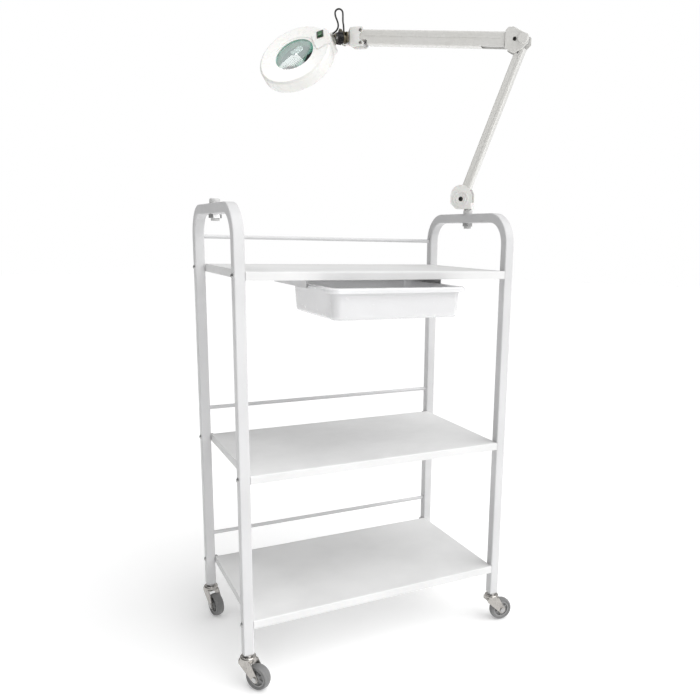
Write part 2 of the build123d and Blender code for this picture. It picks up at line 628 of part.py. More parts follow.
def tension_spring(length, coil_r, wire):
    """Close-wound coil as one ribbed body, with a stem and a ring at each end; length is post to post."""
    ring_r = SPRING_POST_R + wire / 2 + FIT
    turns = int(length * 0.76 / wire)
    coil_len = turns * wire
    root_r = coil_r - wire / 3
    outline = [(0, 0), (root_r, 0)]
    for index in range(turns):
        z0 = index * wire
        outline += [(coil_r, z0 + wire / 3), (coil_r, z0 + wire * 2 / 3), (root_r, z0 + wire)]
    spring = revolve(Plane.XZ * make_face(Polyline(*outline, (0, coil_len), close=True)), Axis.Z)
    spring = Pos(0, 0, -coil_len / 2) * spring
    stem = (length - coil_len) / 2 - ring_r
    for end in (-1, 1):
        stem_mid = end * (coil_len / 2 + stem / 2)
        spring += Pos(0, 0, stem_mid) * Cylinder(wire * 0.45, stem + 1.0)
        ring_at = Plane(origin=(0, 0, end * length / 2), z_dir=(1, 0, 0))
        spring += ring_at * Torus(ring_r, wire / 2)
    return spring


near_post = on_upper_pins(1).from_local_coords(Vector(UPPER_POST, -LINK_INSET, -SPRING_SIDE))
far_post = on_upper_pins(-1).from_local_coords(Vector(LOWER_POST, LINK_INSET, -SPRING_SIDE))
span = far_post - near_post
spring_plane = Plane(origin=(near_post + far_post) / 2, x_dir=(0, 1, 0), z_dir=span)
write("upper_arm_spring", ARM * (spring_plane * tension_spring(span.length, SPRING_R, SPRING_WIRE)))


# ---------------------------------------------------------------- arm end cap
CAP_HALF = 15.5
CAP_SLOT = 26.0            # between the end cap's cheeks
CAP_REACH = 33.5           # end cap's nose, from the link pins


def end_cap():
    """Clevis with an ear round each link pin, waisted between them, and lugs for the head's swivel."""
    x, z = UPPER_END
    pin_z = LINK_SPACING / 2
    nose = x + CAP_REACH
    outline = Polygon(
        (x - 4, z + pin_z + 7), (nose - 9, z + pin_z + 7), (nose - 2, z + pin_z), (nose, z + 8),
        (nose, z - 8), (nose - 2, z - pin_z), (nose - 9, z - pin_z - 7), (x - 4, z - pin_z - 7),
        (x - 8, z - pin_z), (x + 3, z - 4), (x + 3, z + 4), (x - 8, z + pin_z), align=None,
    )
    outline = fillet(outline.vertices(), 2.5)
    up = Plane(origin=(0, 0, 0), x_dir=(1, 0, 0), z_dir=(0, -1, 0))
    body = up * extrude(outline, CAP_HALF, both=True)
    plan = Polygon(
        (x - 30, -CAP_HALF), (nose - 8, -CAP_HALF), (nose, -8), (nose, 8), (nose - 8, CAP_HALF),
        (x - 30, CAP_HALF), align=None,
    )
    body &= Pos(0, 0, z - 40) * extrude(plan, 80)
    body -= block((x - 30, -CAP_SLOT / 2, z - 40), (x + 12, CAP_SLOT / 2, z + 40))
    body -= block((x, -LINK_BOSS_HALF - 0.6, z - 40), (nose - 9, LINK_BOSS_HALF + 0.6, z + 40))
    for side in (-1, 1):
        body -= cyl(2.5, 60, (x, 0, z + side * pin_z), ACROSS)
    lug_x = SWIVEL_REACH
    for low, high in ((9.6, 13.6), (-13.6, -9.6)):
        lug = block((nose - 4, -6.5, z + low), (lug_x, 6.5, z + high))
        lug += Pos(lug_x, 0, z + (low + high) / 2) * Cylinder(6.5, high - low)
        lug -= Pos(lug_x, 0, z + (low + high) / 2) * Cylinder(2.5, 10)
        body += lug
    return body


write("arm_end_cap", ARM * end_cap())
cap_pins = []
for side in (-1, 1):
    seat = (UPPER_END[0], CAP_HALF, UPPER_END[1] + side * LINK_SPACING / 2)
    cap_pins.append(dome_head(4.0, 1.8, 2.5, 2 * CAP_HALF + 1, seat, ACROSS))
cap_pins.append(Pos(SWIVEL_REACH, 0, UPPER_END[1]) * Cylinder(2.5, 29))
write("arm_end_pins", [ARM * item for item in cap_pins])

# ---------------------------------------------------------------- head swivel, stud and knob
heading = math.radians(HEADING)
SWIVEL = Vector(
    LEG_X + SWIVEL_REACH * math.cos(heading), SWIVEL_REACH * math.sin(heading), UPPER_END[1]
)
EAR_X = SWIVEL.X - 4.5          # inner face of the swivel's clamp ear, square to X
EAR_T = 3.0


def swivel_bracket():
    barrel = Pos(*SWIVEL) * Cylinder(6.0, 18.6)
    top = SWIVEL.Z + 9.0
    ear = block((EAR_X - EAR_T, STUD_Y - 10, STUD_Z - 9), (EAR_X, STUD_Y + 10, top))
    ear = fillet(ear.edges().filter_by(Axis.X), 5.0)
    neck = block((EAR_X - EAR_T, STUD_Y, SWIVEL.Z - 9), (EAR_X, SWIVEL.Y + 1, top - 1))
    bracket = barrel + ear + neck
    bracket -= Pos(*SWIVEL) * Cylinder(2.5 + FIT, 60)
    bracket -= cyl(3.0, 30, (EAR_X, STUD_Y, STUD_Z), (1, 0, 0))
    return bracket


BLOCK_T = 6.0
BLOCK_X1 = EAR_X - EAR_T - 0.3
BLOCK_X0 = BLOCK_X1 - BLOCK_T
KNOB_FACE = BLOCK_X0 - 2.0
write("swivel_bracket", swivel_bracket())
stud_len = EAR_X - KNOB_FACE + 7.0
write("head_stud", dome_head(5.0, 3.0, 3.0, stud_len, (EAR_X, STUD_Y, STUD_Z), (1, 0, 0)))
knob_plane = Plane(origin=(KNOB_FACE, STUD_Y, STUD_Z), x_dir=(0, 1, 0), z_dir=(-1, 0, 0))
write("head_knob", knob_plane * lobed_knob(14.0, 11.0, 6, 3.0 + FIT))

# ---------------------------------------------------------------- head hinge
HINGE_TILT = math.radians(43.1)
HINGE_DIR = Vector(0, math.cos(HINGE_TILT), math.sin(HINGE_TILT))
NECK_TURN = math.radians(39.3)
DOWN_SIDE = Vector(0, -math.sin(HINGE_TILT), math.cos(HINGE_TILT))
NECK_DIR = Vector(math.cos(NECK_TURN), 0, 0) + DOWN_SIDE * math.sin(NECK_TURN)
HEAD_UP = NECK_DIR.cross(HINGE_DIR)
HINGE_PIN = Vector((BLOCK_X0 + BLOCK_X1) / 2 - EYE_SET, HINGE_Y, HINGE_Z)
HEAD_CENTRE = HINGE_PIN - NECK_DIR * PIN_X
HEAD = Plane(origin=HEAD_CENTRE, x_dir=NECK_DIR, z_dir=HEAD_UP)
EYE_HALF = 7.0
EAR_GAP = 7.2
CABLE_START = (61.6, 199.0, 1291.0)     # top of the gland on the tilt block
NECK_GLAND = (17.0, 3.0, 5.0)           # gland on the neck's end: across, up, length


def tilt_block():
    """Plate clamped on the stud, cranked round to an eye on the head's hinge pin."""
    mid_x = (BLOCK_X0 + BLOCK_X1) / 2
    side_on = Plane(origin=(mid_x, HINGE_Y, HINGE_Z), x_dir=HINGE_DIR, z_dir=(1, 0, 0))
    stud = side_on.to_local_coords(Vector(mid_x, STUD_Y, STUD_Z))
    out = stud.Y
    sign = 1 if out > 0 else -1
    outline = Pos(stud.X, stud.Y) * Circle(9.0)
    outline += Pos((stud.X + 5) / 2, out) * Rectangle(abs(stud.X) + 5, 9.0)
    outline += Pos(0, sign * abs(out) / 2) * Rectangle(2 * EYE_HALF - 2, abs(out))
    plate = side_on * extrude(outline, BLOCK_T / 2, both=True)
    eye = cyl(6.0, 2 * EYE_HALF, HINGE_PIN, HINGE_DIR)
    plate += eye
    plate -= cyl(3.0 + FIT, 60, HINGE_PIN, HINGE_DIR)
    plate -= cyl(3.0 + FIT, 40, (mid_x, STUD_Y, STUD_Z), (1, 0, 0))
    gland_low = STUD_Z + 7.5
    gland_mid = (CABLE_START[2] + gland_low) / 2
    gland = cyl(2.9, CABLE_START[2] - gland_low, (*CABLE_START[:2], gland_mid), (0, 0, 1))
    return plate + gland


write("tilt_block", tilt_block())


def head_bracket():
    """U-shaped bracket on the neck's flat end, with an ear each side of the eye."""
    base = block((NECK_X, -EAR_GAP - 2.2, -8), (NECK_X + 2.2, EAR_GAP + 2.2, 8))
    bracket = base
    for side in (-1, 1):
        y = side * (EAR_GAP + 1.1)
        ear = Pos(0, y, 0) * block((NECK_X, -1.1, -6), (PIN_X, 1.1, 6))
        ear += cyl(6.0, 2.2, (PIN_X, y, 0), (0, 1, 0))
        bracket += ear
    return bracket - cyl(3.0, 60, (PIN_X, 0, 0), (0, 1, 0))


write("head_bracket", HEAD * head_bracket())
pin_seat = (PIN_X, EAR_GAP + 2.2, 0)
pin_len = 2 * EAR_GAP + 6.4
write("head_pin", HEAD * dome_head(4.4, 2.0, 3.0, pin_len, pin_seat, (0, 1, 0)))


# ---------------------------------------------------------------- lamp head
def head_outline(inset):
    """Round head with a short neck squared off at its end."""
    neck = Pos(NECK_X / 2, 0) * Rectangle(NECK_X, 2 * NECK_HALF)
    outline = Circle(HEAD_R) + neck
    sharp = outline.vertices().group_by(Axis.X)[-1]
    outline = fillet(sharp, 9.0)
    return offset(outline, -inset) if inset else outline


SHELL_T = 2.2
WELL_R = LENS_R + 1.0      # inside of the wall round the lens
COVER_LOW = -2.0           # parting line of the two shells
DIFFUSER_R0 = 55.5
DIFFUSER_R1 = 79.0
LENS_Z = 10.0              # middle of the lens, from the middle of the head
SWITCH_AT = (71.0, 13.0)
SWITCH_TURN = -14.0
SWITCH_W = 13.0
SWITCH_L = 19.0
PAD_TOP = HEAD_T / 2 + 2.5


def head_cover():
    """User's side of the head: domed ring round the lens, with a raised pad on the neck."""
    top = HEAD_T / 2
    body = Pos(0, 0, COVER_LOW) * extrude(head_outline(0), top - COVER_LOW)
    body = fillet(body.edges().group_by(Axis.Z)[-1], 6.0)
    hollow = Pos(0, 0, COVER_LOW - 1) * extrude(head_outline(SHELL_T), top - COVER_LOW + 1 - SHELL_T)
    hollow = fillet(hollow.edges().group_by(Axis.Z)[-1], 4.0)
    hollow -= Cylinder(WELL_R + SHELL_T, HEAD_T + 10)
    body -= hollow
    pad = Pos(0, 0, top - 2) * extrude(
        Pos(69.0, 0) * RectangleRounded(38, 2 * NECK_HALF - 8, 5), 4.5
    )
    pad = fillet(pad.edges().group_by(Axis.Z)[-1], 2.0)
    pad -= Cylinder(WELL_R, 100)
    body += pad
    body -= Cylinder(WELL_R, HEAD_T + 10)
    lip = Pos(0, 0, top - 3.0) * extrude(Circle(WELL_R + 0.5) - Circle(LENS_VIEW_R), 2.2)
    body += lip
    across, up, length = NECK_GLAND
    body += cyl(3.8, length + SHELL_T, (NECK_X + (length - SHELL_T) / 2, across, up), (1, 0, 0))
    opening = Pos(*SWITCH_AT, 0) * Rot(0, 0, SWITCH_TURN) * Box(SWITCH_W - 1, SWITCH_L - 1, 80)
    return body - opening


write("head_cover", HEAD * head_cover())


def head_base():
    """Underside of the head: outer wall and a floor that is open inside the diffuser's edge."""
    low = -HEAD_T / 2
    body = Pos(0, 0, low) * extrude(head_outline(0), COVER_LOW - low)
    body = fillet(body.edges().group_by(Axis.Z)[0], 6.0)
    body -= Pos(0, 0, low + SHELL_T) * extrude(head_outline(SHELL_T), 40)
    body -= Cylinder(DIFFUSER_R1 - 2.0, 100)
    return body


write("head_base", HEAD * head_base())


def lens():
    """Biconvex magnifier with a ground cylindrical edge."""
    edge_half = 1.8
    bulge = 5.0
    sphere_r = (LENS_R ** 2 + bulge ** 2) / (2 * bulge)
    blank = Cylinder(LENS_R - 0.1, 2 * (edge_half + bulge))
    blank &= Pos(0, 0, edge_half + bulge - sphere_r) * Sphere(sphere_r)
    blank &= Pos(0, 0, sphere_r - edge_half - bulge) * Sphere(sphere_r)
    return Pos(0, 0, LENS_Z) * blank


write("lens", HEAD * lens())


def lens_ring():
    """Sleeve under the lens, with a flange at the underside that holds the diffuser's inner edge."""
    low = -HEAD_T / 2
    height = LENS_Z - 2.9 - low
    sleeve = Pos(0, 0, low) * extrude(Circle(WELL_R - 0.05) - Circle(LENS_VIEW_R), height)
    flange = Pos(0, 0, low) * extrude(Circle(DIFFUSER_R0 + 2.0) - Circle(LENS_VIEW_R), SHELL_T)
    flange = fillet(flange.edges().group_by(Axis.Z)[0], 1.0)
    return sleeve + flange


write("lens_ring", HEAD * lens_ring())

tube_path = Plane.XZ * (Pos(67.0, 0) * Circle(7.5))
lamp_tube = revolve(tube_path, Axis.Z, 330)
write("lamp_tube", HEAD * (Pos(0, 0, -4.0) * Rot(0, 0, 15) * lamp_tube))

diffuser = Pos(0, 0, -HEAD_T / 2 + SHELL_T) * extrude(
    Circle(DIFFUSER_R1) - Circle(DIFFUSER_R0), 1.6
)
write("diffuser_ring", HEAD * diffuser)

# ---------------------------------------------------------------- rocker switch
switch_place = HEAD.location * Pos(*SWITCH_AT, PAD_TOP) * Rot(0, 0, SWITCH_TURN)
bezel = extrude(RectangleRounded(SWITCH_W + 3, SWITCH_L + 3, 1.5), 1.2)
bezel += Pos(0, 0, -11) * extrude(RectangleRounded(SWITCH_W - 1.1, SWITCH_L - 1.1, 0.8), 11)
bezel -= Pos(0, 0, -8) * extrude(Rectangle(SWITCH_W - 3, SWITCH_L - 3), 12)
write("switch_housing", switch_place * bezel)
wing = (SWITCH_L - 3.8) / 2
profile = Polygon(
    (-wing, 4.4), (0, 1.6), (wing, 1.6), (wing - 0.6, -2.5), (-wing + 0.6, -2.5), align=None
)
rocker = Plane.YZ * extrude(profile, (SWITCH_W - 3.6) / 2, both=True)
write("rocker_switch", switch_place * rocker)

# ---------------------------------------------------------------- lamp cable
# From the gland on the tilt block, up in a loop, into the gland on the head's neck.
CABLE_D = 3.8


def on_neck(out):
    """Point on the axis of the neck's gland, this far out from its face."""
    across, up, length = NECK_GLAND
    return tuple(HEAD.from_local_coords(Vector(NECK_X + length + out, across, up)))


CABLE_ROUTE = [
    CABLE_START,
    (61.6, 199.0, 1302.0),
    (61.0, 203.0, 1313.0),
    (63.0, 207.0, 1325.0),
    (64.0, 211.0, 1337.0),
    (57.0, 215.0, 1342.0),
    (49.0, 219.0, 1337.0),
    (51.0, 223.0, 1327.0),
    (59.0, 228.0, 1318.0),
    (63.0, 233.0, 1309.0),
    on_neck(10.0),
    on_neck(0),
]


def cord_radii(points):
    """Radius for each corner: as large as its two runs allow."""
    radii = []
    for before, here, after in zip(points, points[1:], points[2:]):
        a = Vector(*here) - Vector(*before)
        b = Vector(*after) - Vector(*here)
        turn = math.radians(a.get_angle(b))
        radii.append(0.45 * min(a.length, b.length) / math.tan(turn / 2))
    return radii


radii = cord_radii(CABLE_ROUTE)
print("cable radii", [round(r, 1) for r in radii])
line = FilletPolyline(*CABLE_ROUTE, radius=radii)
first = Vector(*CABLE_ROUTE[1]) - Vector(*CABLE_ROUTE[0])
section = Plane(origin=CABLE_ROUTE[0], z_dir=first) * Circle(CABLE_D / 2)
cable = sweep(section, path=line)
expected = math.pi * (CABLE_D / 2) ** 2 * line.length
print("cable length", round(line.length, 1), "volume ratio", round(cable.volume / expected, 4))
write("lamp_cable", cable)
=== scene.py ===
import json
import math

import bmesh
import bpy
from mathutils import Matrix, Vector


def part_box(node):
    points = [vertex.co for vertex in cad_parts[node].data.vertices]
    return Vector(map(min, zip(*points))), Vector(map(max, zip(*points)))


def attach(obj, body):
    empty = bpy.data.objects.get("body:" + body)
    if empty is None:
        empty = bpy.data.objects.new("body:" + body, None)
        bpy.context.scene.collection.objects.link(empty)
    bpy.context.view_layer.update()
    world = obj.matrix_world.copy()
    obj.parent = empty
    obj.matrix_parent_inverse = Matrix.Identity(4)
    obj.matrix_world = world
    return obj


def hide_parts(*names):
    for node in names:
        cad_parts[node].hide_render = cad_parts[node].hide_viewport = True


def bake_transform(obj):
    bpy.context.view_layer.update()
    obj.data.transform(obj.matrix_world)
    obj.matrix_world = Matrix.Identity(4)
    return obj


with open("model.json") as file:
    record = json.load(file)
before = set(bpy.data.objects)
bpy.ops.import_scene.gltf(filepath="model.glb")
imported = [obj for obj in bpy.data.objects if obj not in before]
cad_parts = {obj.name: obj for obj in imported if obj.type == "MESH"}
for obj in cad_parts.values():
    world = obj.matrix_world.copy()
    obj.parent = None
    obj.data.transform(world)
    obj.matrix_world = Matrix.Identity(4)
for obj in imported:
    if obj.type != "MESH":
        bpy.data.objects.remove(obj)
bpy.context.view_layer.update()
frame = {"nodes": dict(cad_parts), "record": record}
nodes = frame["nodes"]


# ---------------------------------------------------------------- camera
CAMERA_PLACE = (-0.5936, -1.3978, 0.8492)
CAMERA_YAW = 0.501
CAMERA_PITCH = 0.196
CAMERA_ROLL = 0.024
FOCAL_MM = 37.09
SENSOR_MM = 36.0
SHIFT_X = -0.1032
SHIFT_Y = 0.0434


def look():
    """The trolley seen from its front left corner, a little above the drawer."""
    yaw, pitch, roll = CAMERA_YAW, CAMERA_PITCH, CAMERA_ROLL
    forward = Vector((
        math.sin(yaw) * math.cos(pitch), math.cos(yaw) * math.cos(pitch), -math.sin(pitch)
    ))
    right = Vector((math.cos(yaw), -math.sin(yaw), 0))
    up = right.cross(forward)
    across = right * math.cos(roll) + up * math.sin(roll)
    upright = up * math.cos(roll) - right * math.sin(roll)
    turn = Matrix((across, upright, -forward)).transposed().to_4x4()
    data = bpy.data.cameras.new("camera")
    data.lens = FOCAL_MM
    data.sensor_width = SENSOR_MM
    data.shift_x = SHIFT_X
    data.shift_y = SHIFT_Y
    data.clip_start = 0.02
    data.clip_end = 60
    camera = bpy.data.objects.new("camera", data)
    camera.matrix_world = Matrix.Translation(CAMERA_PLACE) @ turn
    bpy.context.collection.objects.link(camera)
    bpy.context.scene.camera = camera


look()


# ---------------------------------------------------------------- materials
class Shader:
    """One node material: a principled surface with noise and bump fed from object space."""

    def __init__(self, name, color, rough, metal=0.0, **sockets):
        self.material = bpy.data.materials.new(name)
        self.material.use_nodes = True
        self.tree = self.material.node_tree
        self.surface = self.tree.nodes["Principled BSDF"]
        self.color = color
        self.set(self.surface, "Base Color", (*color, 1))
        self.set(self.surface, "Roughness", rough)
        self.set(self.surface, "Metallic", metal)
        for key, value in sockets.items():
            self.set(self.surface, key.replace("_", " "), value)
        self.space = self.tree.nodes.new("ShaderNodeTexCoord").outputs["Object"]
        self.height = None

    @staticmethod
    def set(node, socket, value):
        node.inputs[socket].default_value = value

    def link(self, out, into):
        self.tree.links.new(out, into)

    def stretched(self, scale):
        mapping = self.tree.nodes.new("ShaderNodeMapping")
        self.set(mapping, "Scale", scale)
        self.link(self.space, mapping.inputs["Vector"])
        return mapping.outputs["Vector"]

    def noise(self, scale, detail=3.0, rough=0.55, vector=None):
        node = self.tree.nodes.new("ShaderNodeTexNoise")
        self.set(node, "Scale", scale)
        self.set(node, "Detail", detail)
        self.set(node, "Roughness", rough)
        self.link(vector or self.space, node.inputs["Vector"])
        return node.outputs["Fac"]

    def cells(self, scale):
        node = self.tree.nodes.new("ShaderNodeTexVoronoi")
        self.set(node, "Scale", scale)
        self.link(self.space, node.inputs["Vector"])
        return node.outputs["Distance"]

    def distance(self, point):
        """How far the surface is from a point."""
        node = self.tree.nodes.new("ShaderNodeVectorMath")
        node.operation = "DISTANCE"
        self.link(self.space, node.inputs[0])
        node.inputs[1].default_value = point
        return node.outputs["Value"]

    def ranged(self, fac, low, high, start=0.3, end=0.7):
        node = self.tree.nodes.new("ShaderNodeMapRange")
        node.interpolation_type = "SMOOTHSTEP"
        for socket, value in (
            ("From Min", start), ("From Max", end), ("To Min", low), ("To Max", high)
        ):
            self.set(node, socket, value)
        self.link(fac, node.inputs["Value"])
        return node.outputs["Result"]

    def tint(self, fac, other, amount=1.0, start=0.35, end=0.7):
        """Shifts the colour towards another where the factor is high."""
        mix = self.tree.nodes.new("ShaderNodeMix")
        mix.data_type = "RGBA"
        mask = self.ranged(fac, 0.0, amount, start, end)
        self.link(mask, mix.inputs["Factor"])
        socket = self.surface.inputs["Base Color"]
        if socket.links:
            self.link(socket.links[0].from_socket, mix.inputs["A"])
        else:
            mix.inputs["A"].default_value = (*self.color, 1)
        mix.inputs["B"].default_value = (*other, 1)
        self.link(mix.outputs["Result"], socket)

    def gloss(self, fac, low, high):
        self.link(self.ranged(fac, low, high), self.surface.inputs["Roughness"])

    def bump(self, fac, depth, strength):
        node = self.tree.nodes.new("ShaderNodeBump")
        self.set(node, "Strength", strength)
        self.set(node, "Distance", depth)
        self.link(fac, node.inputs["Height"])
        if self.height:
            self.link(self.height, node.inputs["Normal"])
        self.height = node.outputs["Normal"]
        self.link(self.height, self.surface.inputs["Normal"])


def powder_coat(name, color, rough=0.36):
    """Baked powder: orange peel, faint mottling and fine dust."""
    s = Shader(name, color, rough, Coat_Weight=0.06, Coat_Roughness=0.2, Specular_IOR_Level=0.3)
    s.tint(s.noise(7, 4), [c * 0.94 for c in color])
    s.tint(s.noise(160, 6, 0.7), [c * 0.9 for c in color], 0.5, 0.6, 0.8)
    s.gloss(s.noise(40, 5), rough - 0.06, rough + 0.1)
    s.bump(s.noise(420, 2, 0.5), 0.00012, 0.35)
    s.bump(s.noise(1900, 2, 0.6), 0.00004, 0.25)
    return s.material


def enamel(name, color, rough=0.26):
    """The lamp's glossy stoved paint, almost smooth."""
    s = Shader(name, color, rough, Coat_Weight=0.4, Coat_Roughness=0.1)
    s.tint(s.noise(9, 3), [c * f for c, f in zip(color, (0.98, 0.975, 0.96))], 0.7)
    s.tint(s.noise(190, 5, 0.7), [c * 0.97 for c in color], 0.3, 0.6, 0.85)
    s.gloss(s.noise(60, 4), rough - 0.04, rough + 0.07)
    s.bump(s.noise(620, 2, 0.5), 0.00002, 0.15)
    return s.material


def moulded(name, color, rough=0.4, grain=1500, depth=0.00005, haze=0.92, **sockets):
    """Injection-moulded plastic with a fine grain and slow tone changes."""
    s = Shader(name, color, rough, **sockets)
    s.tint(s.noise(14, 3), [c * haze for c in color], 0.7)
    s.tint(s.cells(240), [c * (haze + 0.03) for c in color], 0.3, 0.5, 0.9)
    s.gloss(s.noise(90, 5), max(rough - 0.07, 0.05), rough + 0.08)
    s.bump(s.noise(grain, 3, 0.6), depth, 0.3)
    return s.material


def plated(name, color, rough=0.22, streak=(1, 1, 14), dark=0.6):
    """Plated or brushed metal: streaks along one way, with darker stains in them."""
    s = Shader(name, color, rough, 1.0, Specular_IOR_Level=0.6)
    lines = s.noise(120, 6, 0.7, s.stretched(streak))
    s.tint(s.noise(35, 4), [c * dark for c in color], 0.6, 0.5, 0.75)
    s.tint(lines, [c * (dark + 0.2) for c in color], 0.6)
    s.gloss(lines, rough - 0.08, rough + 0.14)
    s.bump(lines, 0.00004, 0.4)
    s.bump(s.noise(500, 3), 0.00003, 0.3)
    return s.material


def rubber(name, color, rough, dust=(0.55, 0.54, 0.52)):
    """Soft rubber with dust in patches."""
    s = Shader(name, color, rough, Sheen_Weight=0.15, Sheen_Roughness=0.4)
    s.tint(s.noise(45, 6, 0.65), dust, 0.25, 0.55, 0.8)
    s.tint(s.noise(300, 3), [c * 0.85 for c in color], 0.6)
    s.gloss(s.noise(70, 4), rough - 0.1, rough + 0.12)
    s.bump(s.noise(900, 4, 0.65), 0.00008, 0.5)
    return s.material


def glass(name, color, rough, ior):
    """Frosted glass with faint smears and a wavy polish."""
    s = Shader(name, color, rough, IOR=ior, Transmission_Weight=1.0)
    s.tint(s.noise(60, 3), [c * 0.97 for c in color], 0.5)
    s.gloss(s.noise(40, 6, 0.7), rough, rough + 0.06)
    s.bump(s.noise(25, 2), 0.00003, 0.3)
    return s.material


def lens_glass():
    """Clear glass, greener near its rim, with a painted green crescent on its lower side standing in for
    its green side face seen through it, and a painted green glow round its outer rim.
    """
    low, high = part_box("lens")
    centre = [(a + b) / 2 for a, b in zip(low, high)]
    # Painted refraction: the glass is tinted green far from this point, a crescent that stands in for its
    # green side face seen through it.
    painted_crescent_origin = (centre[0] - 0.009, centre[1] + 0.020, centre[2] + 0.009)
    s = Shader("lens_glass", (0.70, 0.81, 0.79), 0.02, IOR=1.52, Transmission_Weight=1.0)
    from_centre = s.distance(centre)
    s.tint(from_centre, (0.34, 0.70, 0.60), 0.8, 0.038, 0.050)
    s.tint(s.distance(painted_crescent_origin), (0.08, 0.46, 0.32), 0.9, 0.051, 0.060)
    # Painted glow: the outermost band of the rim emits green light though it is no lamp.
    s.set(s.surface, "Emission Color", (0.07, 0.42, 0.29, 1))
    painted_rim_glow = s.ranged(from_centre, 0.0, 0.9, 0.0490, 0.0496)
    s.link(painted_rim_glow, s.surface.inputs["Emission Strength"])
    s.gloss(s.noise(40, 6, 0.7), 0.01, 0.05)
    s.bump(s.noise(25, 2), 0.00002, 0.3)
    return s.material


M = {
    "frame_steel": powder_coat("frame_steel", (0.665, 0.665, 0.67)),
    "shelf_steel": powder_coat("shelf_steel", (0.76, 0.76, 0.758), 0.42),
    "white_plastic": moulded("white_plastic", (0.62, 0.62, 0.615), 0.42),
    "gloss_white_plastic": moulded(
        "gloss_white_plastic", (0.76, 0.76, 0.77), 0.2, 500, 0.00004, 0.97,
        Coat_Weight=0.5, Coat_Roughness=0.08, Subsurface_Weight=0.6, Subsurface_Scale=0.012,
        Subsurface_Radius=(1, 1, 1),
    ),
    "lamp_plastic": moulded(
        "lamp_plastic", (0.87, 0.865, 0.84), 0.3, 1100, 0.00004, 0.98, Coat_Weight=0.3, Coat_Roughness=0.15,
        Subsurface_Weight=0.08, Subsurface_Scale=0.002,
    ),
    "lamp_enamel": enamel("lamp_enamel", (0.72, 0.714, 0.692)),
    "zinc_steel": plated("zinc_steel", (0.55, 0.55, 0.55), 0.3),
    "dark_screw": plated("dark_screw", (0.045, 0.044, 0.042), 0.38),
    "dark_metal": plated("dark_metal", (0.12, 0.105, 0.075), 0.42, (14, 1, 1)),
    "spring_steel": plated("spring_steel", (0.32, 0.32, 0.33), 0.25),
    "caster_chrome": plated("caster_chrome", (0.50, 0.48, 0.455), 0.2, (6, 1, 1), 0.45),
    "black_plastic": moulded(
        "black_plastic", (0.006, 0.006, 0.007), 0.3, 1300, 0.00006, 0.7, Specular_IOR_Level=0.2
    ),
    "switch_black": moulded("switch_black", (0.02, 0.035, 0.022), 0.32),
    "switch_green": moulded(
        "switch_green", (0.03, 0.13, 0.045), 0.22, Coat_Weight=0.6, Coat_Roughness=0.08
    ),
    "grey_plastic": moulded("grey_plastic", (0.33, 0.33, 0.33), 0.42),
    "diffuser_plastic": moulded(
        "diffuser_plastic", (0.82, 0.83, 0.84), 0.35, Subsurface_Weight=0.3, Subsurface_Scale=0.004
    ),
    "cable_rubber": rubber("cable_rubber", (0.014, 0.014, 0.014), 0.48, (0.1, 0.1, 0.1)),
    "tyre_grey": rubber("tyre_grey", (0.2, 0.2, 0.2), 0.55),
    "lens_glass": lens_glass(),
    "tube_glass": glass("tube_glass", (0.9, 0.9, 0.9), 0.35, 1.45),
    "cast_zinc": plated("cast_zinc", (0.36, 0.355, 0.32), 0.34, (1, 14, 1), 0.55),
    "bare_screw": plated("bare_screw", (0.30, 0.29, 0.27), 0.3),
}

# Sub-parts whose finish differs from the one that their slot names.
AS_SEEN = {
    "tilt_block": "dark_metal", "head_bracket": "cast_zinc", "arm_end_pins": "bare_screw",
    "elbow_bolt": "lamp_enamel", "head_stud": "dark_metal",
}

for part in frame["record"]["subparts"]:
    shown = nodes[part["node"]]
    shown.data.materials.clear()
    shown.data.materials.append(M[AS_SEEN.get(part["node"], part["material_slot"])])


# ---------------------------------------------------------------- the lamp's cable
CABLE_D = 0.0038
CABLE_ROUTE = [
    (0.0616, 0.1990, 1.2910),
    (0.0616, 0.1990, 1.3020),
    (0.0610, 0.2030, 1.3130),
    (0.0630, 0.2070, 1.3250),
    (0.0640, 0.2110, 1.3370),
    (0.0570, 0.2150, 1.3420),
    (0.0490, 0.2190, 1.3370),
    (0.0510, 0.2230, 1.3270),
    (0.0590, 0.2280, 1.3180),
    (0.0630, 0.2330, 1.3090),
    (0.05902, 0.23753, 1.29920),
    (0.05128, 0.24186, 1.29457),
]


def route_mesh(name, radius):
    """The cable's smooth spline as a mesh: a tube, or its bare line when the radius is 0."""
    curve = bpy.data.curves.new(name, "CURVE")
    curve.dimensions = "3D"
    spline = curve.splines.new("NURBS")
    spline.points.add(len(CABLE_ROUTE) - 1)
    for point, place in zip(spline.points, CABLE_ROUTE):
        point.co = (*place, 1)
    spline.order_u = 3
    spline.use_endpoint_u = True
    spline.resolution_u = 12
    curve.bevel_depth = radius
    curve.bevel_resolution = 6
    curve.use_fill_caps = True
    holder = bpy.data.objects.new(name, curve)
    bpy.context.collection.objects.link(holder)
    bpy.context.view_layer.update()
    found = holder.evaluated_get(bpy.context.evaluated_depsgraph_get())
    mesh = bpy.data.meshes.new_from_object(found)
    bpy.data.objects.remove(holder)
    return mesh


def cable():
    """The looped cable as a tube round its spline, and the line that it follows."""
    path = [tuple(v.co) for v in route_mesh("cable_line", 0.0).vertices]
    mesh = route_mesh("cable_tube", CABLE_D / 2)
    mesh.materials.clear()
    mesh.materials.append(M["cable_rubber"])
    for face in mesh.polygons:
        face.use_smooth = True
    piece = bpy.data.objects.new("lamp_cable_skin", mesh)
    bpy.context.collection.objects.link(piece)
    return piece, path


flex, flex_path = cable()
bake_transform(flex)
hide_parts("lamp_cable")


